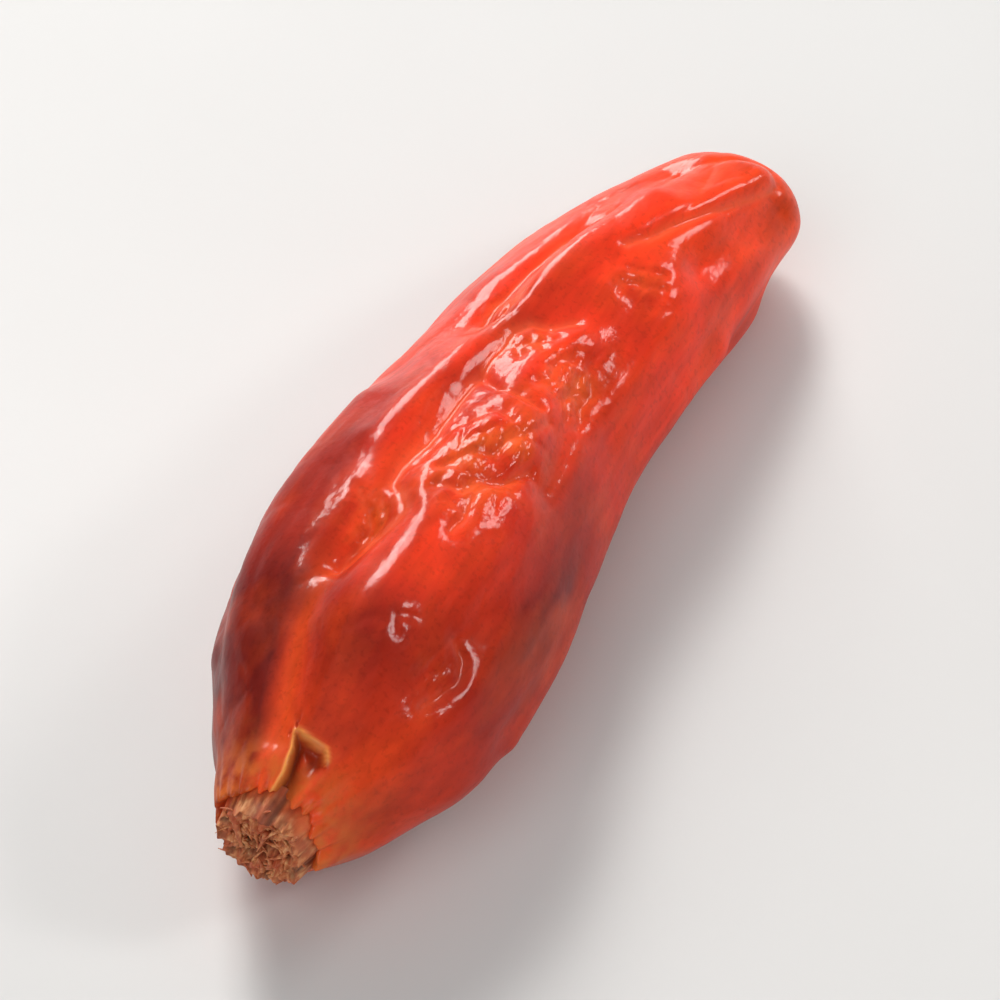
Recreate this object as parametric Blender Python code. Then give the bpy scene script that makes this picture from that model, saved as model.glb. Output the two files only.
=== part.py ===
"""Dried chilli pepper: one whole pod lying on its flattened belly, with what is left of its calyx.

Metres, +Z up. The pod's length runs along X, with the stem end at -X and the tip at +X, and it rests on z = 0.
Its skin is swept along a bowed centre line, from half widths given along the length. Folds, creases and dents
are then raised on it or sunk in it. A place on the skin is (share of the length, degrees round from the top),
where positive degrees turn towards -Y.
"""

import math

import bmesh
import bpy
import numpy as np
from mathutils import Vector

# Driving dimensions
POD_LENGTH = 0.0311
POD_WIDTH = 0.0092
POD_HEIGHT = 0.0080
SIDE_BOW = 0.0014
NECK_RADIUS = 0.00155
CALYX_RADIUS = 0.00135
CALYX_LENGTH = 0.0005
CALYX_SCAR_DEPTH = 0.0002
CALYX_RAGGEDNESS = 0.00007
SEAT_GAP = 0.0003

# The skin's half width after the neck, as shares of the greatest, at shares of the length
OUTLINE = (
    (0.02, 0.43), (0.045, 0.54), (0.08, 0.68), (0.16, 0.89), (0.285, 1.00), (0.405, 0.93),
    (0.55, 0.81), (0.70, 0.76), (0.815, 0.69), (0.91, 0.56), (1.00, 0.44),
)
TIP_STARTS = 0.94
# The centre line's height above the floor, as shares of the pod's height, at shares of the length
CENTRE_HEIGHTS = ((0.00, 0.452), (0.13, 0.440), (0.385, 0.462), (0.70, 0.385), (1.00, 0.268))
BOW_SHIFT = 1.4

# Folds: height (a valley's is negative), half width, and the route that it takes over the skin
FOLDS = (
    (0.00034, 0.0008, ((0.05, -10), (0.15, -17), (0.23, -16), (0.285, -9))),
    (0.00032, 0.0008, ((0.23, -20), (0.295, -14), (0.375, -9), (0.48, -2), (0.59, -5), (0.64, 14))),
    (0.00028, 0.0007, ((0.57, -26), (0.685, -28), (0.805, -27), (0.90, -24))),
    (-0.00022, 0.0008, ((0.375, -24), (0.51, -16), (0.705, -12), (0.825, -4))),
    (-0.00016, 0.0006, ((0.745, 8), (0.845, 18), (0.94, 30))),
    (0.00018, 0.0009, ((0.16, 44), (0.23, 48), (0.325, 58), (0.415, 66), (0.53, 66))),
    (0.00024, 0.0007, ((0.415, 46), (0.51, 45), (0.61, 42), (0.685, 36))),
    (-0.00034, 0.0006, ((0.035, 8), (0.06, 12), (0.085, 20))),
    (-0.00030, 0.0010, ((0.14, -52), (0.275, -56), (0.435, -50))),
    (-0.00022, 0.0010, ((0.47, -72), (0.61, -84), (0.785, -80))),
    (0.00026, 0.0008, ((0.16, -88), (0.355, -92), (0.53, -102), (0.67, -100))),
    (0.00028, 0.0008, ((0.22, 104), (0.395, 98), (0.56, 104), (0.745, 96))),
    (-0.00036, 0.0010, ((0.49, 128), (0.65, 136), (0.845, 128))),
    (-0.00034, 0.0010, ((0.51, -140), (0.67, -132), (0.865, -140))),
)
# Dents: depth, half length, half width, and the place of the middle
DENTS = (
    (0.00050, 0.0019, 0.0014, (0.170, 8)),
    (0.00026, 0.0022, 0.0012, (0.265, 14)),
    (0.00030, 0.0016, 0.0010, (0.443, 24)),
    (0.00035, 0.0026, 0.0012, (0.150, -118)),
    (0.00022, 0.0018, 0.0012, (0.697, 52)),
    (0.00032, 0.0016, 0.0013, (0.140, 96)),
)

RINGS = 54
RING_POINTS = 48
CALYX_RINGS = 6
CALYX_POINTS = 24

POD_COLOUR = (0.42, 0.025, 0.012)
CALYX_COLOUR = (0.27, 0.13, 0.055)


def through(points, at):
    """A smooth curve through (place, value) points, read at an array of places."""
    places, values = np.array(points, float).T
    slopes = np.gradient(values, places)
    i = np.clip(np.searchsorted(places, at, side="right") - 1, 0, len(places) - 2)
    step = places[i + 1] - places[i]
    t = (at - places[i]) / step
    return (
        values[i] * (1 + 2 * t) * (1 - t) ** 2
        + values[i + 1] * t**2 * (3 - 2 * t)
        + step * slopes[i] * t * (1 - t) ** 2
        - step * slopes[i + 1] * t**2 * (1 - t)
    )


def half_width(share):
    """The plain skin's half width, as a share of the greatest, rounded off over the tip."""
    neck = (0.0, NECK_RADIUS / (POD_WIDTH / 2))
    into_tip = np.clip((share - TIP_STARTS) / (1 - TIP_STARTS), 0, 1)
    return through((neck, *OUTLINE), share) * np.sqrt(1 - into_tip**2)


def centre_line(share):
    """The middle of the pod's section, as arrays of x, y and z."""
    x = POD_LENGTH * (share - 0.5)
    y = SIDE_BOW * np.sin(math.pi * share**BOW_SHIFT)
    z = POD_HEIGHT * through(CENTRE_HEIGHTS, share)
    return x, y, z


def across_skin(share, degrees, place):
    """How far each point of the skin is from a place, along the pod and round it."""
    turn = (degrees - place[1] + 180) % 360 - 180
    return (share - place[0]) * POD_LENGTH, np.radians(turn) * half_width(share) * POD_WIDTH / 2


def distance_to_route(share, degrees, route):
    """How far each point of the skin is from the nearest part of a route."""
    nearest = np.full(share.shape, np.inf)
    for start, end in zip(route, route[1:]):
        along, around = across_skin(share, degrees, start)
        run = (end[0] - start[0]) * POD_LENGTH
        bend = np.radians(end[1] - start[1]) * half_width(share) * POD_WIDTH / 2
        t = np.clip((along * run + around * bend) / (run**2 + bend**2), 0, 1)
        nearest = np.minimum(nearest, np.hypot(along - t * run, around - t * bend))
    return nearest


def relief(share, degrees):
    """How far the folds and dents move each point of the skin outwards."""
    height = np.zeros(share.shape)
    for rise, width, route in FOLDS:
        height += rise * np.exp(-((distance_to_route(share, degrees, route) / width) ** 2))
    for depth, length, width, place in DENTS:
        along, around = across_skin(share, degrees, place)
        height -= depth * np.exp(-((along / length) ** 2) - (around / width) ** 2)
    near_neck = np.clip(share / 0.04, 0, 1)
    near_tip = np.clip((1 - share) / 0.06, 0, 1)
    return height * near_neck * near_tip


def pod_rings():
    """The skin's points, ring by ring from the neck to just short of the tip."""
    spread = 1 - (1 - np.linspace(0, 1, RINGS + 1)[:-1]) ** 1.25
    turns = np.linspace(0, 360, RING_POINTS, endpoint=False)
    share, degrees = np.meshgrid(spread, turns, indexing="ij")
    x, y, z = centre_line(share)
    raised = relief(share, degrees)
    across = half_width(share) * POD_WIDTH / 2 + raised
    upright = half_width(share) * POD_HEIGHT / 2 * neck_roundness(share) + raised
    angle = np.radians(degrees)
    return np.stack([x, y - across * np.sin(angle), z + upright * np.cos(angle)], axis=-1)


def neck_roundness(share):
    """Makes the section round at the neck and as flat as the pod's height says further on."""
    return 1 + (POD_WIDTH / POD_HEIGHT - 1) * np.exp(-((share / 0.05) ** 2))


def lofted(rings, first, last):
    """A closed bmesh through rings of points, closed at each end by a fan to a point."""
    mesh = bmesh.new()
    loops = [[mesh.verts.new(Vector(point)) for point in ring] for ring in rings]
    count = len(loops[0])
    for lower, upper in zip(loops, loops[1:]):
        for i in range(count):
            j = (i + 1) % count
            mesh.faces.new((lower[i], lower[j], upper[j], upper[i]))
    for loop, place in ((loops[0][::-1], first), (loops[-1], last)):
        middle = mesh.verts.new(Vector(place))
        for i in range(count):
            mesh.faces.new((loop[i], loop[(i + 1) % count], middle))
    bmesh.ops.recalc_face_normals(mesh, faces=mesh.faces)
    return mesh


def flatten_belly(mesh):
    """Cuts the skin off at the floor and closes it with the flat face that the pod rests on."""
    everything = list(mesh.verts) + list(mesh.edges) + list(mesh.faces)
    cut = bmesh.ops.bisect_plane(
        mesh, geom=everything, plane_co=(0, 0, 0), plane_no=(0, 0, 1), clear_inner=True
    )
    rim = [part for part in cut["geom_cut"] if isinstance(part, bmesh.types.BMEdge)]
    bmesh.ops.holes_fill(mesh, edges=rim)


def neck_place():
    """The middle of the neck, where the calyx sits."""
    return Vector([float(part) for part in centre_line(np.array(0.0))])


def calyx_rings():
    """The remnant's points in its own frame: it grows along -X from the seat, and its end is torn."""
    rings = []
    for along in np.linspace(0, 1, CALYX_RINGS):
        ring = []
        for angle in np.linspace(0, 2 * math.pi, CALYX_POINTS, endpoint=False):
            ribs = 1 + 0.10 * along * math.cos(5 * angle + 0.6)
            radius = CALYX_RADIUS * ribs * (1 - 0.16 * along)
            torn = CALYX_RAGGEDNESS * (math.cos(2 * angle + 1) + 0.6 * math.cos(5 * angle))
            x = -along * (CALYX_LENGTH + torn)
            ring.append((x, -radius * math.sin(angle), radius * math.cos(angle)))
        rings.append(ring)
    return rings


def material(name, colour, roughness):
    made = bpy.data.materials.new(name)
    made.use_nodes = True
    shader = made.node_tree.nodes["Principled BSDF"]
    shader.inputs["Base Color"].default_value = (*colour, 1)
    shader.inputs["Roughness"].default_value = roughness
    shader.inputs["Metallic"].default_value = 0
    return made


def add(name, mesh, finish, place):
    """Turns a bmesh into a named object at a place, shaded smooth but for its sharp edges."""
    data = bpy.data.meshes.new(name)
    mesh.to_mesh(data)
    mesh.free()
    data.shade_smooth()
    data.set_sharp_from_angle(angle=math.radians(50))
    data.materials.append(finish)
    made = bpy.data.objects.new(name, data)
    made.location = place
    bpy.context.scene.collection.objects.link(made)
    return made


def make_pod():
    tip = [float(part) for part in centre_line(np.array(1.0))]
    skin = lofted(pod_rings(), neck_place(), tip)
    flatten_belly(skin)
    return add("pod", skin, material("pod_skin", POD_COLOUR, 0.34), (0, 0, 0))


def make_calyx_remnant():
    scar = (-(CALYX_LENGTH - CALYX_SCAR_DEPTH), 0, 0)
    plug = lofted(calyx_rings(), (0, 0, 0), scar)
    seat = neck_place() - Vector((SEAT_GAP, 0, 0))
    return add("calyx_remnant", plug, material("calyx_fibre", CALYX_COLOUR, 0.85), seat)


def centre_footprint(pieces):
    """Moves the pieces together, so that the origin is under the middle of their box."""
    corners = [Vector(corner) + piece.location for piece in pieces for corner in piece.bound_box]
    for axis in (0, 1):
        places = [corner[axis] for corner in corners]
        for piece in pieces:
            piece.location[axis] -= (min(places) + max(places)) / 2


for old in list(bpy.data.objects):
    bpy.data.objects.remove(old)
centre_footprint([make_pod(), make_calyx_remnant()])
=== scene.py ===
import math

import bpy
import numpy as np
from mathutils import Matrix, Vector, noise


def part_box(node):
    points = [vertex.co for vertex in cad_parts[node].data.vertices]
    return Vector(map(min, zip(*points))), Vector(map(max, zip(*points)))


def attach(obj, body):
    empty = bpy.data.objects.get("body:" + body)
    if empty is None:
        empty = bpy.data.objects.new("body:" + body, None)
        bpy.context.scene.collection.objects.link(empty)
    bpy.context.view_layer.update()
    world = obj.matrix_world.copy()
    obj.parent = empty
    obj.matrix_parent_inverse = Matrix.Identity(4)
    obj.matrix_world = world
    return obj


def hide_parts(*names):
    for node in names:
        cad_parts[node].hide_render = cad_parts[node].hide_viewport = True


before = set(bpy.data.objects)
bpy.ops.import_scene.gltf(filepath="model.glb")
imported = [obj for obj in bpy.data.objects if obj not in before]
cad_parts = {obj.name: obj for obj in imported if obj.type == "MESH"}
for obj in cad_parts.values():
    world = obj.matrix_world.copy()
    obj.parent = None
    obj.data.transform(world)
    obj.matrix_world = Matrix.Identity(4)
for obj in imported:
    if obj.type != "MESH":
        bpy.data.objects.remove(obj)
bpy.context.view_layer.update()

# Dried chilli pepper: the looks of one pod lying on its flattened belly, and of the remnant of its calyx.
#
# The pod's skin is one grid, swept along the same bowed centre line as the CAD pod, with relief laid on it along
# its normals. A place on the skin is a share of the length and the degrees round from the top, where positive
# degrees turn towards -Y. Lengths are in millimetres, until the points are written to a mesh.

MM = 0.001

# The pod's driving dimensions, as in the CAD model
POD_LENGTH = 31.1
POD_WIDTH = 9.2
POD_HEIGHT = 8.0
SIDE_BOW = 1.4
BOW_SHIFT = 1.4
NECK_RADIUS = 1.55
OUTLINE = (
    (0.02, 0.43), (0.045, 0.54), (0.08, 0.68), (0.16, 0.89), (0.285, 1.00), (0.405, 0.93),
    (0.55, 0.81), (0.70, 0.76), (0.815, 0.69), (0.91, 0.56), (1.00, 0.44),
)
TIP_STARTS = 0.94
CENTRE_HEIGHTS = ((0.00, 0.452), (0.13, 0.440), (0.385, 0.462), (0.70, 0.385), (1.00, 0.268))
# How softly the flat belly turns into the sides
BELLY_ROUNDING = 0.22

# The grid. Its points are closer together over the top of the pod than under it.
BODY_RINGS = 325
TIP_RINGS = 36
NECK_RINGS = 10
RING_POINTS = 256
TOP_CROWDING = 25
LAST_TIP_ANGLE = 88.5

# Relief fades out over these shares of the length, at the neck and at the tip
NECK_FADE = 0.04
TIP_FADE = 0.05

# Broad furrows: depth (a raised fold's is negative), half width, and the route over the skin
FURROWS = (
    (0.30, 0.8, ((0.05, -12), (0.15, -17), (0.23, -14), (0.27, -11))),
    (0.30, 0.9, ((0.23, -14), (0.295, -10), (0.375, -9), (0.48, -3), (0.59, -5), (0.64, 14))),
    (0.28, 0.7, ((0.57, -26), (0.685, -28), (0.805, -27), (0.90, -24))),
    (-0.22, 0.8, ((0.375, -24), (0.51, -16), (0.705, -12), (0.825, -4))),
    (-0.16, 0.6, ((0.745, 8), (0.845, 18), (0.94, 30))),
    (0.18, 0.9, ((0.16, 44), (0.23, 48), (0.325, 58), (0.415, 66), (0.53, 66))),
    (0.24, 0.7, ((0.415, 46), (0.51, 45), (0.61, 42), (0.685, 36))),
    (0.22, 0.8, ((0.78, 46), (0.86, 50), (0.93, 56))),
    (-0.30, 1.0, ((0.14, -52), (0.275, -56), (0.435, -50))),
    (-0.22, 1.0, ((0.47, -72), (0.61, -84), (0.785, -80))),
    (-0.26, 0.8, ((0.16, -88), (0.355, -92), (0.53, -102), (0.67, -100))),
    (-0.28, 0.8, ((0.22, 104), (0.395, 98), (0.56, 104), (0.745, 96))),
    (-0.36, 1.0, ((0.49, 128), (0.65, 136), (0.845, 128))),
    (-0.34, 1.0, ((0.51, -140), (0.67, -132), (0.865, -140))),
)

# Swellings: height, half length, half width, and the place of the middle
SWELLINGS = (
    (0.50, 1.9, 1.4, (0.170, 8)),
    (0.26, 2.2, 1.2, (0.265, 14)),
    (0.30, 1.6, 1.0, (0.443, 24)),
    (0.35, 2.6, 1.2, (0.150, -118)),
    (0.22, 1.8, 1.2, (0.697, 52)),
    (0.32, 1.6, 1.3, (0.140, 96)),
)

# Sharp creases: their strength, half width of the pinched skin, and the route
CREASES = (
    (0.25, 0.24, ((0.217, -16), (0.235, -8), (0.261, -2), (0.289, 1), (0.313, -4), (0.323, -9), (0.349, -10),
                  (0.379, -8), (0.407, -6), (0.445, -6), (0.479, -6), (0.506, -5), (0.540, -6), (0.578, -7),
                  (0.598, -2), (0.604, 8), (0.624, 16))),
    (0.16, 0.18, ((0.304, -19), (0.291, -16), (0.273, -12), (0.251, -12), (0.234, -15), (0.217, -16))),
    (0.12, 0.15, ((0.302, -10), (0.284, -6), (0.262, -8), (0.243, -12))),
    (0.17, 0.16, ((0.502, -4), (0.487, 7), (0.489, 13), (0.487, 20), (0.485, 26))),
    (0.22, 0.20, ((0.586, -28), (0.620, -29), (0.660, -28), (0.706, -30), (0.740, -29), (0.780, -24),
                  (0.806, -18))),
    (0.20, 0.18, ((0.582, -21), (0.622, -17), (0.662, -20), (0.702, -24), (0.740, -22), (0.786, -19))),
    (0.22, 0.20, ((0.740, 9), (0.762, 14), (0.804, 20), (0.843, 24), (0.881, 31), (0.921, 38), (0.949, 41))),
    (0.14, 0.16, ((0.900, -20), (0.925, -14), (0.953, -1), (0.968, 12), (0.970, 28), (0.960, 42))),
    (0.12, 0.14, ((0.548, 3), (0.560, -1), (0.572, 4), (0.584, 1), (0.592, 7))),
    (0.10, 0.13, ((0.566, 12), (0.576, 8), (0.580, 14), (0.592, 15))),
    (0.10, 0.13, ((0.684, 24), (0.698, 21), (0.708, 31), (0.718, 39))),
    (0.08, 0.12, ((0.716, 18), (0.726, 26), (0.734, 34))),
    (0.15, 0.16, ((0.355, -5), (0.387, -3), (0.423, 2), (0.449, 12), (0.447, 20))),
    (0.16, 0.16, ((0.355, 5), (0.387, 11), (0.401, 20), (0.437, 27), (0.477, 33))),
    (0.16, 0.16, ((0.331, 7), (0.339, 16), (0.367, 22), (0.387, 30), (0.413, 37))),
    (0.17, 0.17, ((0.287, 21), (0.309, 23), (0.327, 21), (0.349, 22), (0.379, 29), (0.411, 37))),
    (0.12, 0.15, ((0.515, 20), (0.536, 24), (0.560, 22), (0.582, 28))),
    (0.13, 0.16, ((0.506, 40), (0.528, 34), (0.552, 39), (0.574, 30))),
    (0.12, 0.15, ((0.512, 48), (0.540, 44), (0.560, 46), (0.586, 36))),
    (0.14, 0.16, ((0.203, 43), (0.195, 51), (0.177, 54), (0.156, 52), (0.134, 48))),
    (0.07, 0.12, ((0.148, 6), (0.160, 9), (0.168, 14))),
    (0.07, 0.12, ((0.166, 20), (0.178, 18), (0.188, 24))),
)
CREASE_ROUNDING = 0.08
CREASE_DEPTH = 0.8
# The crease strength at which a crease's painted highlight on its crest is full
FULL_PINCH = 0.2

# How far the creases and the tear stray from their routes, in shares of the length and in degrees
STRAY_SHARE = 0.003
STRAY_DEGREES = 1.6

# Patches of calm skin and of busy skin: strength, place of the middle, half length and half width
CALM = (
    (1.0, (0.150, 20), 3.2, 2.6),
    (1.0, (0.257, 25), 2.2, 1.8),
    (1.0, (0.071, 70), 2.2, 3.0),
    (0.9, (0.804, 62), 6.0, 2.2),
    (0.9, (0.433, 82), 9.0, 2.6),
)
BUSY = (
    (1.0, (0.400, 18), 2.6, 1.5),
    (1.0, (0.548, 34), 1.5, 1.0),
    (1.0, (0.272, -11), 1.2, 0.8),
    (1.0, (0.602, -24), 1.0, 0.6),
    (0.7, (0.572, 4), 1.0, 0.7),
    (0.8, (0.708, 30), 0.9, 0.9),
    (0.5, (0.165, 46), 1.0, 0.7),
)
# Patches that are painted darker, where the photographed pod is in shade
SHADED = (
    (1.0, (0.31, 80), 5.0, 2.4),
    (0.65, (0.145, 10), 1.6, 1.9),
)

# Crumpled skin: the size of its hollows, how far they are drawn out, how sharp its ridges are, and a seed
LARGE_CRUMPLES = (3.6, 2.2, 2.0, 11)
MEDIUM_CRUMPLES = (1.5, 1.8, 2.5, 37)
SMALL_CRUMPLES = (1.05, 1.3, 2.0, 53)
CRUMPLE_MIDDLE = 0.3
LARGE_DEPTH = 0.13
MEDIUM_DEPTH = 0.05
SMALL_DEPTH = 0.11

# Soft waves: depth, then size, how far they are drawn out along the pod, and a seed
BUSY_WAVES = (0.08, (0.75, 1.0, 41))
SKIN_WAVES = (0.05, (0.9, 2.5, 5))
FLANK_WAVES = ((0.16, (2.0, 5.0, 61)), (0.07, (0.8, 6.0, 67)))
FLANK_STARTS = 75

# The neck: how deep it is puckered, how far its rim is frayed, and over which shares of the length
PUCKER_DEPTH = 0.22
PUCKER_REACH = 0.035
FRAY_LENGTH = 0.36
FRAY_REACH = 0.014
NECK_TURNED_IN = 0.20
NECK_LIP = 0.55

# The tear beside the neck: the route of its edge, how deep its floor is, and how far its rim stands up
TEAR = ((0.000, 2), (0.018, 6), (0.040, 4), (0.053, -1), (0.052, 8), (0.050, 22), (0.042, 28))
TEAR_PLACE = (0.026, 12)
TEAR_REACH = (0.034, 17)
TEAR_DEPTH = 0.70
TEAR_RIM = 0.08

# The painted highlight on the ridge between the pod's dark side and its front
HIGHLIT_RIDGE = ((0.217, -16), (0.199, -17), (0.173, -18), (0.124, -16), (0.076, -14), (0.045, -10))
HIGHLIT_RIDGE_WIDTH = 0.38

# The calyx's stub: its grid, how far it reaches into the pod, and how far its end is from the CAD's
STUB_POINTS = 220
STUB_SIDE_RINGS = 40
STUB_END_RINGS = 60
STUB_ROOT = 0.8
STUB_END = 0.30

# The torn fibres that stand on the stub's end
STRANDS = 70
STRAND_SEED = 6
STRAND_RINGS = 9
STRAND_POINTS = 8
STRAND_FOOT = 0.48
STRAND_SPREAD = 0.90

# The stage, in metres: each light's direction, width and height and power for a metre away, and colour
FLOOR_REACH = 4.0
LIGHT_DISTANCE = 1.3
LIGHTS_AIM = (0, 0, 0.003)
WARM = (1.0, 0.98, 0.95)
WHITE = (1, 1, 1)
LIGHTS = (
    ("key_left", (0.68, 0.52, 0.46), 0.23, 0.74, 8.6, WARM),
    ("key_left_top", (0.504, 0.559, 0.652), 0.24, 0.20, 3.0, WARM),
    ("key_right", (0.831, -0.352, 0.425), 0.23, 0.23, 2.5, WARM),
    ("side_right", (0.324, -0.743, 0.602), 0.17, 0.17, 2.1, WARM),
    ("top", (0.0, 0.0, 1.0), 1.6, 1.6, 1.9, WHITE),
    ("fill", (-0.8, 0.0, 0.70), 0.80, 0.80, 4.3, WHITE),
)
# The sky's colours at two heights: pale at the horizon and dim above it
SKY = ((0.06, (0.62, 0.62, 0.63)), (0.24, (0.075, 0.077, 0.08)))
CAMERA_LENS = 210
CAMERA_SENSOR = 36
CAMERA_DIRECTION = (-0.616, -0.321, 0.719)
CAMERA_DISTANCE = 0.170
CAMERA_AIM = (0, 0, 0.0025)
CAMERA_CLIP = (0.01, 10)


def through(points, at):
    """A smooth curve through (place, value) points, read at an array of places."""
    places, values = np.array(points, float).T
    slopes = np.gradient(values, places)
    i = np.clip(np.searchsorted(places, at, side="right") - 1, 0, len(places) - 2)
    step = places[i + 1] - places[i]
    t = (at - places[i]) / step
    return (
        values[i] * (1 + 2 * t) * (1 - t) ** 2
        + values[i + 1] * t**2 * (3 - 2 * t)
        + step * slopes[i] * t * (1 - t) ** 2
        - step * slopes[i + 1] * t**2 * (1 - t)
    )


def half_width(share):
    """The plain skin's half width, as a share of the greatest, rounded off over the tip."""
    neck = (0.0, NECK_RADIUS / (POD_WIDTH / 2))
    into_tip = np.clip((share - TIP_STARTS) / (1 - TIP_STARTS), 0, 1)
    return through((neck, *OUTLINE), share) * np.sqrt(1 - into_tip**2)


def centre_line(share):
    """The middle of the pod's section, as an array of points."""
    x = POD_LENGTH * (share - 0.5)
    y = SIDE_BOW * np.sin(math.pi * share**BOW_SHIFT)
    z = POD_HEIGHT * through(CENTRE_HEIGHTS, share)
    return np.stack([x, y, z], axis=-1)


def plain_skin(share, degrees):
    """The pod's smooth skin, before anything is raised on it."""
    roundness = 1 + (POD_WIDTH / POD_HEIGHT - 1) * np.exp(-((share / 0.05) ** 2))
    across = half_width(share) * POD_WIDTH / 2
    upright = half_width(share) * POD_HEIGHT / 2 * roundness
    angle = np.radians(degrees)
    outwards = np.stack([0 * angle, -across * np.sin(angle), upright * np.cos(angle)], axis=-1)
    return centre_line(share) + outwards


def across_skin(share, degrees, place):
    """How far each point of the skin is from a place, along the pod and round it."""
    turn = (degrees - place[1] + 180) % 360 - 180
    return (share - place[0]) * POD_LENGTH, np.radians(turn) * half_width(share) * POD_WIDTH / 2


def distance_to_route(share, degrees, route):
    """How far each point of the skin is from the nearest part of a route, and 1 or -1 for its side of it."""
    nearest = np.full(share.shape, np.inf)
    side = np.ones(share.shape)
    for start, end in zip(route, route[1:]):
        along, around = across_skin(share, degrees, start)
        run = (end[0] - start[0]) * POD_LENGTH
        bend = np.radians(end[1] - start[1]) * half_width(share) * POD_WIDTH / 2
        t = np.clip((along * run + around * bend) / (run**2 + bend**2), 0, 1)
        distance = np.hypot(along - t * run, around - t * bend)
        side = np.where(distance < nearest, np.sign(run * around - bend * along), side)
        nearest = np.minimum(nearest, distance)
    return nearest, side


def patch(share, degrees, place, length, width):
    """1 at a place on the skin, fading to 0 over a half length and a half width around it."""
    along, around = across_skin(share, degrees, place)
    return np.exp(-((along / length) ** 2) - (around / width) ** 2)


def strongest_patch(share, degrees, patches):
    """The strongest of several patches at each point of the skin."""
    return np.maximum.reduce([strength * patch(share, degrees, *spot) for strength, *spot in patches])


def over_points(points, value):
    """A value of each point of a grid, from a function of one point."""
    flat = [value(Vector(point)) for point in points.reshape(-1, points.shape[-1])]
    return np.array(flat).reshape(points.shape[:-1])


def drift(place):
    """A vector of soft noise, with its three parts from places far apart in the noise."""
    return Vector([noise.noise(place + Vector(apart)) for apart in ((31, 0, 0), (0, 47, 0), (0, 0, 59))])


def crumple(points, cell, stretch, power, seed):
    """Skin shrunk into hollows that meet in sharp ridges: near 0 in a hollow's middle, and 1 on a ridge."""

    def value(point):
        place = Vector((point.x / stretch, point.y, point.z)) / cell + Vector((seed, 0, 0))
        distances = noise.voronoi(place + 0.35 * drift(place * 0.8))[0]
        return (distances[0] / distances[1]) ** power

    return over_points(points, value)


def waves(points, size, stretch, seed):
    """Soft noise from -1 to 1, drawn out along the pod."""

    def value(point):
        return noise.noise(Vector((point.x / stretch, point.y, point.z)) / size + Vector((0, seed, 0)))

    return over_points(points, value)


def around_neck(degrees, detail, seed):
    """Soft noise from -1 to 1 that changes only round the pod."""
    turns = np.radians(degrees)
    circle = np.stack([np.cos(turns) * detail, np.sin(turns) * detail], -1)
    return over_points(circle, lambda point: noise.noise(Vector((point.x, point.y, seed))))


def tear_beside_neck(share, degrees):
    """The tear beside the calyx: how deep its floor is (0 to 1), and how near its bright edge is (0 to 1)."""
    distance, side = distance_to_route(share, degrees, TEAR)
    inwards = distance * side
    along = np.exp(-(((share - TEAR_PLACE[0]) / TEAR_REACH[0]) ** 4))
    open_part = along * np.exp(-(((degrees - TEAR_PLACE[1]) / TEAR_REACH[1]) ** 4))
    floor = np.clip(1 - np.exp(-inwards / 0.06), 0, 1) * np.exp(-np.maximum(inwards, 0) / 0.50)
    edge = np.exp(-(((inwards + 0.04) / 0.07) ** 2))
    return floor * open_part, edge * np.sqrt(open_part)


def pod_grid():
    """The grid's shares and degrees, from the neck to just short of the tip."""
    body = np.linspace(0, TIP_STARTS, BODY_RINGS, endpoint=False)
    into_tip = np.radians(np.linspace(0, LAST_TIP_ANGLE, TIP_RINGS))
    spread = np.concatenate([body, TIP_STARTS + (1 - TIP_STARTS) * np.sin(into_tip)])
    turn = np.linspace(-180, 180, RING_POINTS, endpoint=False)
    return np.meshgrid(spread, turn - TOP_CROWDING * np.sin(np.radians(turn)), indexing="ij")


def normals_of(grid):
    """The outward normals of a grid of points that runs along X and closes round it."""
    along = np.gradient(grid, axis=0)
    around = np.roll(grid, -1, axis=1) - np.roll(grid, 1, axis=1)
    normal = np.cross(around, along)
    return normal / np.linalg.norm(normal, axis=-1, keepdims=True)


def fade_at_ends(share):
    """1 along the pod, fading to 0 at its neck and at its tip."""
    return np.clip(share / NECK_FADE, 0, 1) * np.clip((1 - share) / TIP_FADE, 0, 1)


def furrowed(share, degrees):
    """How deep the broad furrows and swellings sink each point of the skin."""
    sunk = np.zeros(share.shape)
    fade = fade_at_ends(share)
    for depth, width, route in FURROWS:
        sunk += depth * fade * np.exp(-((distance_to_route(share, degrees, route)[0] / width) ** 2))
    for rise, length, width, place in SWELLINGS:
        sunk -= rise * fade * patch(share, degrees, place, length, width)
    return sunk


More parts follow.
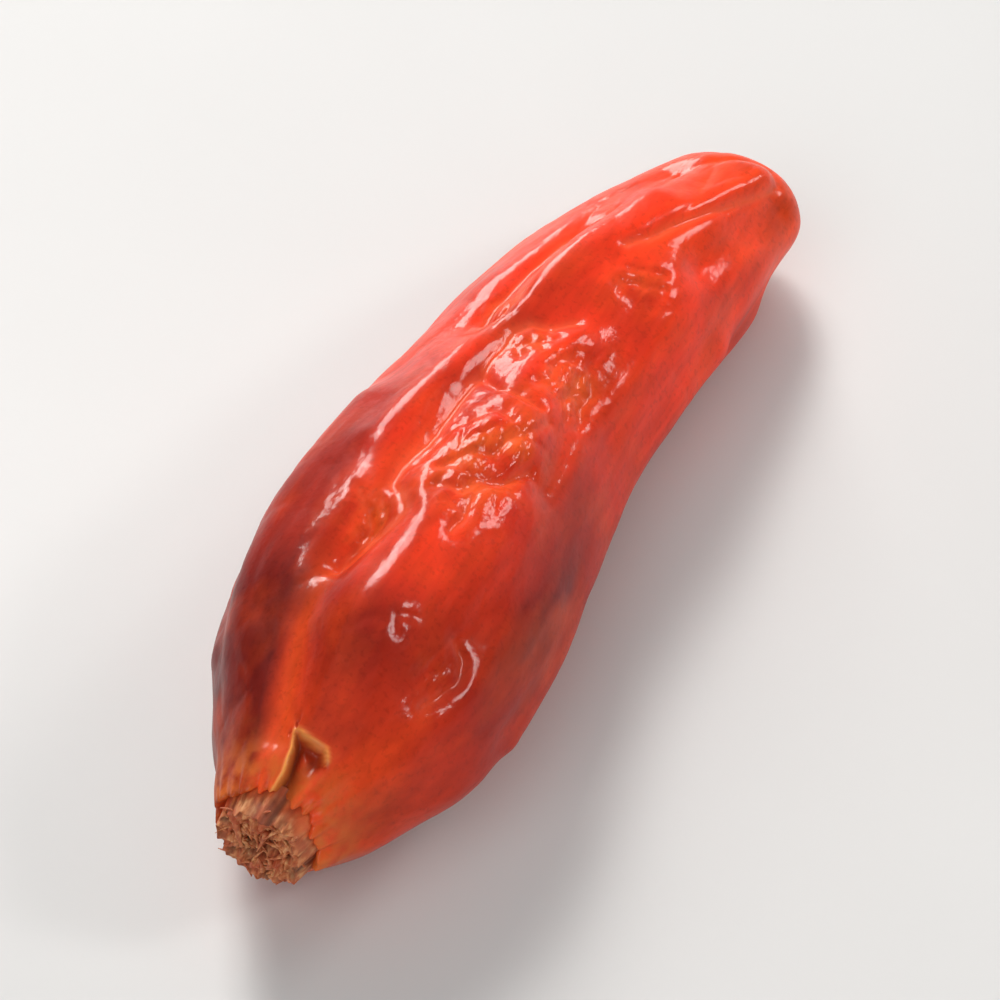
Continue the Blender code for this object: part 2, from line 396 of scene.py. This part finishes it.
def raised_skin(share, degrees):
    """The skin's points with their relief, and the shares of each tone that colour them."""
    plain = plain_skin(share, degrees)
    fade = fade_at_ends(share)
    sunk = furrowed(share, degrees)

    strayed = (
        share + STRAY_SHARE * waves(plain, 1.0, 1.0, 3),
        degrees + STRAY_DEGREES * waves(plain, 1.0, 1.0, 8),
    )
    crest_highlight = np.zeros(share.shape)
    for strength, width, route in CREASES:
        distance = np.hypot(distance_to_route(*strayed, route)[0], CREASE_ROUNDING)
        crease = np.exp(-(distance - CREASE_ROUNDING) / width)
        sunk += CREASE_DEPTH * strength * crease
        crest_highlight = np.maximum(crest_highlight, crease * strength / FULL_PINCH)

    calm = strongest_patch(share, degrees, CALM)
    busy = strongest_patch(share, degrees, BUSY)
    amount = 0.55 + 0.35 * waves(plain, 4.0, 1.6, 21)
    amount = np.clip(amount - 0.45 * calm + 0.5 * busy, 0.08, 1.2) * fade
    large = crumple(plain, *LARGE_CRUMPLES)
    medium = crumple(plain, *MEDIUM_CRUMPLES)
    small = crumple(plain, *SMALL_CRUMPLES)
    sunk += (
        amount * (LARGE_DEPTH * (large - CRUMPLE_MIDDLE) + MEDIUM_DEPTH * (medium - CRUMPLE_MIDDLE))
        + SMALL_DEPTH * busy * (small - CRUMPLE_MIDDLE)
    )
    sunk += BUSY_WAVES[0] * busy * waves(plain, *BUSY_WAVES[1])
    sunk += SKIN_WAVES[0] * fade * waves(plain, *SKIN_WAVES[1])
    flank = 1 - np.exp(-((degrees / FLANK_STARTS) ** 4))
    sunk += fade * flank * sum(depth * waves(plain, *shape) for depth, shape in FLANK_WAVES)

    near_neck = np.exp(-((share / PUCKER_REACH) ** 2))
    puckers = around_neck(degrees, 1.5, 4) + 0.6 * around_neck(degrees, 4.5, 9)
    sunk += PUCKER_DEPTH * near_neck * puckers
    floor, edge = tear_beside_neck(*strayed)
    height = TEAR_RIM * edge - TEAR_DEPTH * floor - sunk
    points = plain + normals_of(plain) * height[..., None]
    frayed = around_neck(degrees, 2.0, 17) + 0.7 * around_neck(degrees, 7.0, 23)
    points[..., 0] -= FRAY_LENGTH * np.exp(-((share / FRAY_REACH) ** 2)) * frayed

    # The left side is painted darker: partly a darker skin there, partly painted shade.
    dark_left_side = np.clip((-degrees - 17) / 11, 0, 1) * np.clip((degrees + 150) / 40, 0, 1)
    tones = {
        "share": share,
        "left": dark_left_side * np.exp(-(((share - 0.10) / 0.30) ** 2)),
        # Painted highlight along the ridge beside the dark left side
        "ridge_highlight": np.exp(-((distance_to_route(*strayed, HIGHLIT_RIDGE)[0] / HIGHLIT_RIDGE_WIDTH) ** 2)),
        "shaded": strongest_patch(share, degrees, SHADED),
        "neck": near_neck,
        # Painted highlight along the crests of the creases and crumples
        "ridge": np.clip(crest_highlight + 0.4 * amount * np.maximum(large - 0.6, 0), 0, 1),
        # Painted shade in the hollows of the crumpled skin
        "hollow": np.clip(0.8 - large, 0, 1) * amount,
        "busy": busy,
        # Painted shade: the tear's sunken floor, which also roughens the bump
        "torn": floor,
        "torn_edge": edge,
    }
    return points, tones


def neck_rings(first_ring):
    """Rings that turn the skin's edge inwards at the neck, from the innermost out."""
    middle = first_ring.mean(axis=0)
    rings = []
    for turned in np.linspace(1, 0, NECK_RINGS, endpoint=False):
        ring = middle + (first_ring - middle) * (1 - NECK_TURNED_IN * turned)
        ring[:, 0] += NECK_LIP * turned**2
        rings.append(ring)
    return np.array(rings)


def rest_on_floor(points):
    """Flattens the belly softly where it would go through the floor."""
    z = points[..., 2]
    points[..., 2] = (z + np.sqrt(z**2 + BELLY_ROUNDING**2)) / 2


def in_row_frame(points):
    """Moves points from the pod's own frame to the CAD's, whose origin is under the whole object's middle."""
    tip_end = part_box("pod")[1].x / MM
    low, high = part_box("calyx_remnant")
    return points + np.array([tip_end - POD_LENGTH / 2, (low.y + high.y) / 2 / MM, 0])


def loft(rings):
    """The points and faces of a closed body through a grid of points, with a fan to a point at each end."""
    count, around = rings.shape[:2]
    points = np.concatenate([rings.reshape(-1, 3), [rings[0].mean(axis=0), rings[-1].mean(axis=0)]])
    at = np.arange(count * around).reshape(count, around)
    after = np.roll(at, -1, axis=1)
    faces = np.stack([at[:-1], after[:-1], after[1:], at[1:]], axis=-1).reshape(-1, 4).tolist()
    faces += [(b, a, len(points) - 2) for a, b in zip(at[0], after[0])]
    faces += [(a, b, len(points) - 1) for a, b in zip(at[-1], after[-1])]
    return points, faces


def mesh_object(name, bodies):
    """A smooth mesh object made of closed bodies, each given as points in millimetres and faces."""
    points, faces = [], []
    for body_points, body_faces in bodies:
        faces += [[corner + len(points) for corner in face] for face in body_faces]
        points += (body_points * MM).tolist()
    mesh = bpy.data.meshes.new(name)
    mesh.from_pydata(points, [], faces)
    mesh.shade_smooth()
    made = bpy.data.objects.new(name, mesh)
    bpy.context.scene.collection.objects.link(made)
    return made


def keep_tone(made, name, values):
    """Stores one value for each point of a mesh, for its material to read."""
    layer = made.data.attributes.new(name, "FLOAT", "POINT")
    layer.data.foreach_set("value", np.asarray(values, np.float32).ravel())


def with_ends(grid, extra_rings=0):
    """A loft's values in the order of its points. Extra rings repeat the first, and each fan's point is 0."""
    repeated = np.repeat(grid[:1], extra_rings, axis=0)
    return np.concatenate([repeated.ravel(), grid.ravel(), [0, 0]])


def make_pod():
    points, tones = raised_skin(*pod_grid())
    rest_on_floor(points)
    rings = in_row_frame(np.concatenate([neck_rings(points[0]), points]))
    rings[..., 2] -= rings[..., 2].min()
    rings[..., 2] *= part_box("pod")[1].z / MM / rings[..., 2].max()
    made = mesh_object("pod_skin", [loft(rings)])
    for name, values in tones.items():
        keep_tone(made, name, with_ends(values, NECK_RINGS))
    return made


class Nodes:
    """A short way to write a material's nodes."""

    def __init__(self, name):
        self.material = bpy.data.materials.new(name)
        self.material.use_nodes = True
        self.tree = self.material.node_tree
        self.shader = self.tree.nodes["Principled BSDF"]

    def add(self, kind, settings=None, **inputs):
        """A node with some settings, with its inputs set to values or linked to other nodes' outputs."""
        node = self.tree.nodes.new(kind)
        for key, value in (settings or {}).items():
            setattr(node, key, value)
        for key, value in inputs.items():
            self.feed(node.inputs[key.replace("_", " ")], value)
        return node

    def feed(self, socket, value):
        if isinstance(value, bpy.types.NodeSocket):
            self.tree.links.new(value, socket)
        else:
            socket.default_value = value

    def tone(self, name):
        return self.add("ShaderNodeAttribute", {"attribute_name": name}).outputs["Fac"]

    def math(self, operation, a, b):
        node = self.tree.nodes.new("ShaderNodeMath")
        node.operation = operation
        self.feed(node.inputs[0], a)
        self.feed(node.inputs[1], b)
        return node.outputs[0]

    def ramp(self, fac, stops):
        """A colour or grey that changes with a value, from (place, colour) stops."""
        node = self.add("ShaderNodeValToRGB", Fac=fac)
        elements = node.color_ramp.elements
        while len(elements) < len(stops):
            elements.new(0.5)
        for element, (place, colour) in zip(elements, stops):
            element.position = place
            element.color = (*colour, 1) if isinstance(colour, tuple) else (colour, colour, colour, 1)
        return node.outputs["Color"]

    def mix(self, fac, a, b, blend="MIX"):
        node = self.tree.nodes.new("ShaderNodeMix")
        node.data_type = "RGBA"
        node.blend_type = blend
        for socket, value in ((node.inputs["Factor"], fac), (node.inputs[6], a), (node.inputs[7], b)):
            self.feed(socket, (*value, 1) if isinstance(value, tuple) else value)
        return node.outputs[2]

    def noise(self, size, stretch=1.0, detail=3.0, seed=0.0):
        """Noise whose lumps have a size in millimetres, drawn out along the pod."""
        where = self.add("ShaderNodeTexCoord").outputs["Object"]
        per_metre = 1 / (size * MM)
        placed = self.add("ShaderNodeMapping", Vector=where, Location=(seed, seed, seed),
                          Scale=(per_metre / stretch, per_metre, per_metre))
        lumps = self.add("ShaderNodeTexNoise", Vector=placed.outputs[0], Scale=1.0, Detail=detail)
        return lumps.outputs["Fac"]

    def bump(self, height, depth, strength, under=None):
        node = self.add("ShaderNodeBump", Height=height, Distance=depth * MM, Strength=strength)
        if under is not None:
            self.feed(node.inputs["Normal"], under)
        return node.outputs["Normal"]

    def finish(self, **inputs):
        for key, value in inputs.items():
            self.feed(self.shader.inputs[key.replace("_", " ")], value)
        return self.material


def skin_material():
    n = Nodes("pod_skin")
    # The skin's colour along the pod: partly its own tone, oranger towards the tip, and partly painted light and
    # shade, darker around a share of 0.18 where the dent is in shade and lighter at the wide end and around
    # 0.24.
    colour = n.ramp(n.tone("share"), (
        (0.00, (0.88, 0.075, 0.020)), (0.10, (0.70, 0.044, 0.012)), (0.18, (0.56, 0.028, 0.009)),
        (0.24, (0.84, 0.044, 0.011)), (0.36, (0.70, 0.030, 0.009)), (0.82, (0.92, 0.044, 0.010)),
        (1.00, (0.97, 0.072, 0.012)),
    ))
    # Painted shade over the left side, together with a darker skin there.
    colour = n.mix(n.math("MULTIPLY", n.tone("left"), 0.90), colour, (0.110, 0.008, 0.007))
    colour = n.mix(n.math("MULTIPLY", n.tone("shaded"), 0.92), colour, (0.14, 0.007, 0.006))
    # Painted highlight: orange along the ridge beside the dark left side
    colour = n.mix(n.math("MULTIPLY", n.tone("ridge_highlight"), 0.60), colour, (0.78, 0.085, 0.014))
    glow = n.ramp(n.noise(1.8, 1.6, seed=4), ((0.44, 0.0), (0.70, 0.85)))
    colour = n.mix(n.math("MULTIPLY", glow, 0.45), colour, (0.82, 0.080, 0.012))
    amber = n.ramp(n.noise(1.1, 1.4, seed=7), ((0.36, 0.0), (0.62, 0.60)))
    colour = n.mix(n.math("MULTIPLY", n.tone("busy"), amber), colour, (0.88, 0.15, 0.020))
    blotches = n.ramp(n.noise(2.2, 2.0, seed=9), ((0.30, 0.66), (0.52, 1.0), (0.80, 1.10)))
    colour = n.mix(1.0, colour, blotches, "MULTIPLY")
    streaks = n.ramp(n.noise(0.32, 5.0, seed=2), ((0.30, 0.84), (0.70, 1.12)))
    colour = n.mix(0.8, colour, streaks, "MULTIPLY")
    specks = n.ramp(n.noise(0.16, 1.0, 2.0, seed=6), ((0.30, 0.62), (0.46, 1.0)))
    colour = n.mix(0.4, colour, specks, "MULTIPLY")
    # Painted shade: the crumples' hollows darkened towards a deep maroon
    colour = n.mix(n.math("MULTIPLY", n.tone("hollow"), 0.50), colour, (0.22, 0.008, 0.005))
    # Painted highlight: crests lightened towards a pale pinkish orange
    crest_highlight = n.math("POWER", n.tone("ridge"), 3.0)
    colour = n.mix(n.math("MULTIPLY", crest_highlight, 0.40), colour, (0.94, 0.14, 0.050))
    stain = n.ramp(n.noise(0.5, seed=31), ((0.35, 0.15), (0.60, 0.85)))
    colour = n.mix(n.math("MULTIPLY", n.tone("neck"), stain), colour, (0.66, 0.150, 0.030))
    # Painted shade: the tear's sunken floor is painted near black
    colour = n.mix(n.math("MULTIPLY", n.tone("torn"), 0.97), colour, (0.055, 0.008, 0.004))
    colour = n.mix(n.math("MULTIPLY", n.tone("torn_edge"), 0.95), colour, (0.90, 0.36, 0.085))

    grain = n.bump(n.noise(0.16, 1.2, 3.0, seed=12), 0.012, 0.4)
    lines = n.bump(n.noise(0.26, 4.0, 2.0, seed=15), 0.030, 0.35, grain)
    uneven = n.math("ADD", n.math("ADD", n.tone("busy"), n.tone("torn")), 0.20)
    rumpled = n.math("MULTIPLY", n.noise(0.40, 1.5, 2.0, seed=18), uneven)
    normal = n.bump(rumpled, 0.12, 0.7, lines)
    roughness = n.ramp(n.noise(0.9, 1.5, seed=20), ((0.3, 0.42), (0.7, 0.55)))
    return n.finish(
        Base_Color=colour, Roughness=roughness, Normal=normal, Coat_Normal=normal,
        Subsurface_Weight=0.12, Subsurface_Radius=(1.0, 0.20, 0.06), Subsurface_Scale=0.0005,
        Specular_IOR_Level=0.06, Coat_Weight=0.30, Coat_Roughness=0.13, Coat_IOR=1.5, IOR=1.45,
    )


def stub(middle, radius, root, end):
    """The calyx's torn stub, with ribbed sides and a sunken end of fibre, and the shares of its tones."""
    around = np.linspace(0, 2 * math.pi, STUB_POINTS, endpoint=False)
    circle = np.stack([0 * around, -np.sin(around), np.cos(around)], -1)
    ribs = over_points(circle, lambda p: noise.noise(p * 2.2 + Vector((4, 0, 0))))
    ribs += 0.7 * over_points(circle, lambda p: noise.noise(p * 6.5 + Vector((9, 0, 0))))
    torn = over_points(circle, lambda p: noise.noise(p * 1.6 + Vector((2, 0, 0))))
    torn += 0.9 * over_points(circle, lambda p: noise.noise(p * 7.0 + Vector((6, 0, 0))))
    rings, pit_shades, grown = [], [], []
    for along in np.linspace(0, 1, STUB_SIDE_RINGS):
        size = radius * (1.16 - 0.20 * along + ribs * (0.03 + 0.11 * along))
        ring = middle + circle * size[:, None]
        ring[:, 0] = root + (end + 0.22 * torn - root) * along
        rings.append(ring)
        # Painted shade in the grooves between the ribs
        pit_shades.append(np.clip(-ribs * 1.8, 0, 1))
        grown.append(np.clip((0.80 - along + 0.5 * torn) * 3, 0, 1))
    edge, centre = rings[-1], rings[-1].mean(axis=0)
    for inwards in np.linspace(0, 1, STUB_END_RINGS)[1:-1]:
        ring = edge + (centre - edge) * inwards
        fibres = over_points(ring, lambda p: noise.noise(Vector((p.x, p.y * 2.6, p.z * 2.6))))
        fibres += 0.6 * over_points(ring, lambda p: noise.noise(Vector((p.x, p.y * 7.0, p.z * 7.0))))
        ring[:, 0] += 0.30 * min(inwards * 1.6, 1) - 0.40 * fibres * min(inwards * 4, 1)
        rings.append(ring)
        # Painted shade where the fibres sink
        pit_shades.append(np.clip(0.25 - fibres * 1.5 + 0.2 * inwards, 0, 1))
        grown.append(0 * fibres)
    return np.array(rings)[::-1], {"pit_shade": np.array(pit_shades)[::-1], "grown": np.array(grown)[::-1]}


def strand(root, direction, length, thickness, curl):
    """One torn fibre: a thin tube that bends as it grows, and tapers."""
    along = np.linspace(0, 1, STRAND_RINGS)[:, None]
    path = root + direction * length * along + curl * length * along**2
    across = np.cross(direction, (0.3, 0.5, 0.8))
    across /= np.linalg.norm(across)
    other = np.cross(direction, across)
    turns = np.linspace(0, 2 * math.pi, STRAND_POINTS, endpoint=False)
    width = thickness * (1 - 0.75 * along**1.5)
    circle = np.cos(turns)[:, None] * across + 0.55 * np.sin(turns)[:, None] * other
    return path[:, None, :] + circle[None] * width[..., None]


def strands(middle, radius, foot):
    """Fibres left standing where the stalk tore away, most of them towards the rim."""
    chance = np.random.default_rng(STRAND_SEED)
    for turn in chance.uniform(0, 2 * math.pi, STRANDS):
        outwards = np.array([0, -math.sin(turn), math.cos(turn)])
        reach = chance.uniform(0.35, 1.0) ** 0.6
        root = middle + outwards * radius * reach
        root[0] = foot + 0.1 * chance.uniform(-1, 1)
        direction = chance.normal(0, 1, 3) * (0.20, 1, 1) - (0.20, 0, 0)
        direction /= np.linalg.norm(direction)
        curl = chance.normal(0, 0.3, 3) * (0.3, 1, 1) - 0.35 * outwards
        yield strand(root, direction, chance.uniform(0.35, 0.80), chance.uniform(0.06, 0.15), curl)


def make_calyx():
    low, high = (np.array(corner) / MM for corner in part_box("calyx_remnant"))
    middle = (low + high) / 2
    radius = (high[1] - low[1]) / 2
    rings, tones = stub(middle, radius, high[0] + STUB_ROOT, low[0] + STUB_END)
    fibres = [fibre[::-1] for fibre in strands(middle, radius * STRAND_SPREAD, low[0] + STRAND_FOOT)]
    made = mesh_object("calyx_stub", [loft(body) for body in (rings, *fibres)])
    for name, values in tones.items():
        on_fibres = [with_ends(np.zeros(fibre.shape[:2])) for fibre in fibres]
        keep_tone(made, name, np.concatenate([with_ends(values), *on_fibres]))
    return made


def fibre_material():
    n = Nodes("calyx_fibre")
    strands = n.ramp(n.noise(0.12, 4.0, 4.0, seed=3), (
        (0.28, (0.24, 0.055, 0.018)), (0.48, (0.58, 0.18, 0.060)), (0.70, (0.78, 0.40, 0.17)),
    ))
    stained = n.mix(n.ramp(n.noise(0.6, seed=8), ((0.40, 0.0), (0.62, 0.8))), strands, (0.44, 0.070, 0.020))
    sides = n.mix(n.noise(0.4, seed=11), (0.66, 0.050, 0.014), (0.70, 0.20, 0.045))
    colour = n.mix(n.tone("grown"), stained, sides)
    # Painted shade: near black in the rib grooves and the sunken fibre
    colour = n.mix(n.math("MULTIPLY", n.tone("pit_shade"), 0.75), colour, (0.09, 0.022, 0.009))
    normal = n.bump(n.noise(0.10, 4.0, 4.0, seed=5), 0.050, 0.7)
    roughness = n.ramp(n.noise(0.3, 2.0, seed=7), ((0.3, 0.55), (0.7, 0.80)))
    return n.finish(Base_Color=colour, Roughness=roughness, Normal=normal,
                    Subsurface_Weight=0.10, Subsurface_Radius=(1.0, 0.5, 0.25), Subsurface_Scale=0.0002)


def floor_material():
    n = Nodes("pale_floor")
    colour = n.ramp(n.noise(30.0, seed=1), ((0.3, (0.60, 0.597, 0.593)), (0.7, (0.64, 0.637, 0.633))))
    return n.finish(Base_Color=colour, Roughness=0.55)


def make_floor():
    mesh = bpy.data.meshes.new("floor")
    corners = [(FLOOR_REACH * x, FLOOR_REACH * y, 0) for x, y in ((-1, -1), (1, -1), (1, 1), (-1, 1))]
    mesh.from_pydata(corners, [], [(0, 1, 2, 3)])
    made = bpy.data.objects.new("floor", mesh)
    bpy.context.scene.collection.objects.link(made)
    made.data.materials.append(floor_material())
    return made


def aimed(name, data, direction, distance, target):
    """A light or camera that looks at a target from a direction."""
    made = bpy.data.objects.new(name, data)
    made.location = Vector(target) + Vector(direction).normalized() * distance
    made.rotation_euler = (Vector(target) - made.location).to_track_quat("-Z", "Y").to_euler()
    bpy.context.scene.collection.objects.link(made)
    return made


def soft_light(name, direction, width, height, power, colour):
    """A soft light with a size and power for one metre away, put where it spreads over the whole floor."""
    light = bpy.data.lights.new(name, "AREA")
    light.shape = "RECTANGLE"
    light.size = width * LIGHT_DISTANCE
    light.size_y = height * LIGHT_DISTANCE
    light.energy = power * LIGHT_DISTANCE**2
    light.color = colour
    return aimed(name, light, direction, LIGHT_DISTANCE, LIGHTS_AIM)


def studio_sky():
    """A dim world with a pale band at its horizon."""
    world = bpy.data.worlds.new("studio")
    world.use_nodes = True
    tree = world.node_tree
    where = tree.nodes.new("ShaderNodeTexCoord")
    parts = tree.nodes.new("ShaderNodeSeparateXYZ")
    sky = tree.nodes.new("ShaderNodeValToRGB")
    for element, (place, colour) in zip(sky.color_ramp.elements, SKY):
        element.position = place
        element.color = (*colour, 1)
    tree.links.new(where.outputs["Generated"], parts.inputs[0])
    tree.links.new(parts.outputs["Z"], sky.inputs["Fac"])
    tree.links.new(sky.outputs["Color"], tree.nodes["Background"].inputs["Color"])
    return world


def make_camera():
    camera = bpy.data.cameras.new("camera")
    camera.lens = CAMERA_LENS
    camera.sensor_width = CAMERA_SENSOR
    camera.clip_start, camera.clip_end = CAMERA_CLIP
    return aimed("camera", camera, CAMERA_DIRECTION, CAMERA_DISTANCE, CAMERA_AIM)


def make_stage():
    make_floor()
    for light in LIGHTS:
        soft_light(*light)
    bpy.context.scene.world = studio_sky()
    bpy.context.scene.view_settings.view_transform = "Standard"
    bpy.context.scene.camera = make_camera()


make_stage()

pod = make_pod()
pod.data.materials.append(skin_material())
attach(pod, "root")
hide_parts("pod")

calyx = make_calyx()
calyx.data.materials.append(fibre_material())
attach(calyx, "root")
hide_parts("calyx_remnant")
